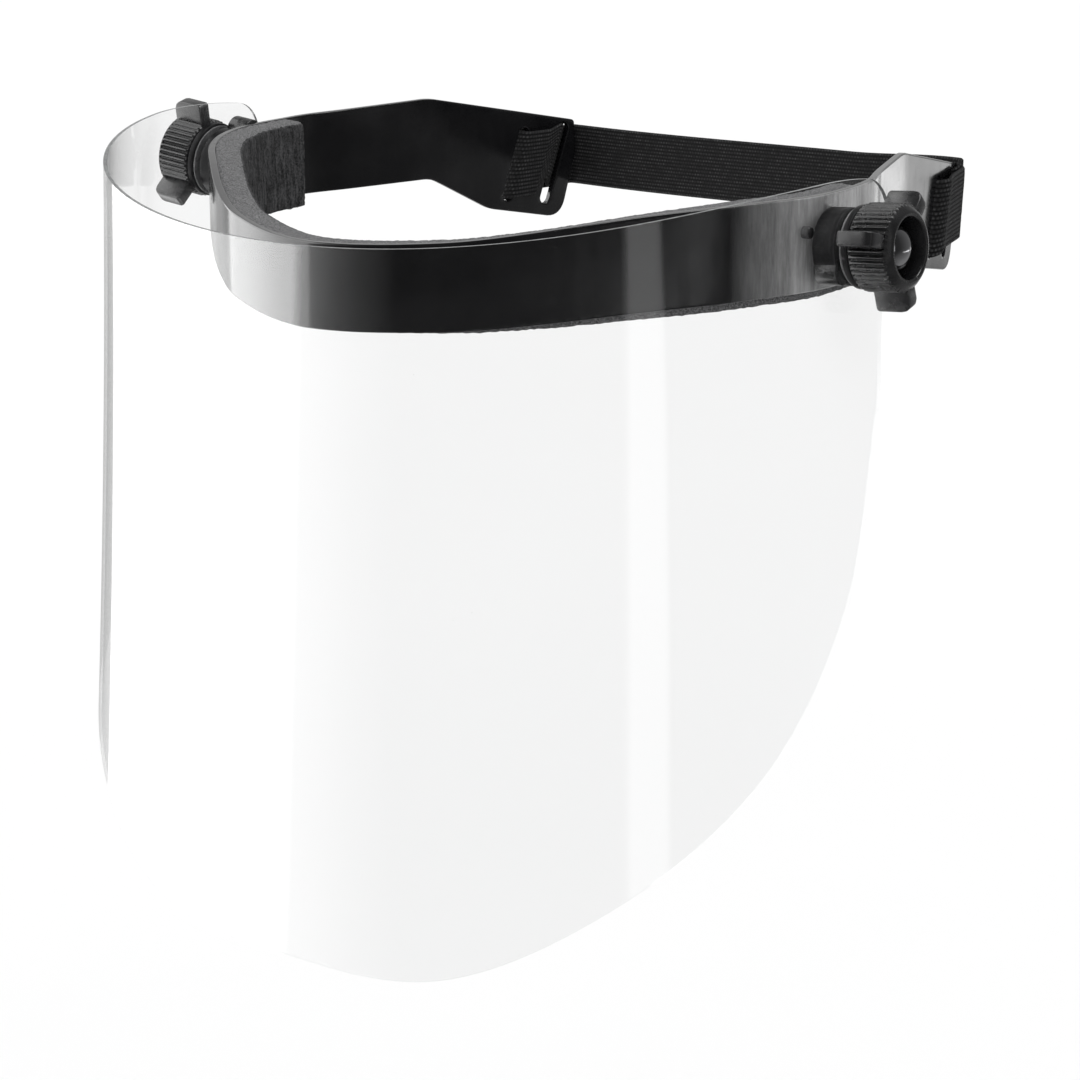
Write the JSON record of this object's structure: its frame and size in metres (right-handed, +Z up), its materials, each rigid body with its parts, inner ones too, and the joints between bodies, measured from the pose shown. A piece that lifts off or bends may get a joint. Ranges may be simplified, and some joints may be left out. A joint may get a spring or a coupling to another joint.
{
  "type": "face shield",
  "caption": "Clear curved face shield that swings up on two clamp knobs fixed to a padded headband with an elastic rear strap.",
  "frame": {"origin": "midpoint of the visor's hinge axis, inside the head opening", "axes": "+Z up as worn, the wearer faces -Y, +X is the wearer's left"},
  "size_m": [0.264, 0.2448, 0.217],
  "materials": {
    "clear_sheet": "clear polycarbonate",
    "gloss_black": "gloss",
    "foam": "open-cell foam, matt",
    "elastic": "woven elastic",
    "steel": "plated",
    "knob_plastic": "satin moulded plastic",
    "nylon": "natural nylon",
    "chrome": "polished"
  },
  "bodies": {
    "headband": {"headband": "gloss_black", "brow_pad": "foam", "strap": "elastic", "peg_left": "knob_plastic", "peg_right": "knob_plastic"},
    "visor": {"visor": "clear_sheet", "bolt_left": "steel", "inner_washer_left": "steel", "spacer_left": "knob_plastic", "boss_left": "knob_plastic", "washer_left": "nylon", "bolt_right": "steel", "inner_washer_right": "steel", "spacer_right": "knob_plastic", "boss_right": "knob_plastic", "washer_right": "nylon"},
    "collar_left": {"collar_left": "knob_plastic"},
    "knob_left": {"knob_left": "knob_plastic", "nut_left": "chrome"},
    "collar_right": {"collar_right": "knob_plastic"},
    "knob_right": {"knob_right": "knob_plastic", "nut_right": "chrome"}
  },
  "joints": [
    {"name": "visor_hinge", "type": "hinge", "parent": "headband", "child": "visor", "pos_m": [0, 0, 0], "axis": [-1, 0, 0], "range_deg": [0, 85]},
    {"name": "collar_slide_left", "type": "slide", "parent": "visor", "child": "collar_left", "axis": [0.9954, 0, 0.0958], "range_m": [0, 0.0016]},
    {"name": "knob_turn_left", "type": "hinge", "parent": "collar_left", "child": "knob_left", "pos_m": [0.104, 0, 0], "axis": [0.9954, 0, 0.0958], "range_deg": [0, 720]},
    {"name": "collar_slide_right", "type": "slide", "parent": "visor", "child": "collar_right", "axis": [-0.9954, 0, 0.0958], "range_m": [0, 0.0016]},
    {"name": "knob_turn_right", "type": "hinge", "parent": "collar_right", "child": "knob_right", "pos_m": [-0.104, 0, 0], "axis": [-0.9954, 0, 0.0958], "range_deg": [0, 720]}
  ],
  "couplings": [
    {"joint": "collar_slide_left", "follows": "knob_turn_left", "m_per_rad": 0.0001273},
    {"joint": "collar_slide_right", "follows": "knob_turn_right", "m_per_rad": 0.0001273}
  ]
}
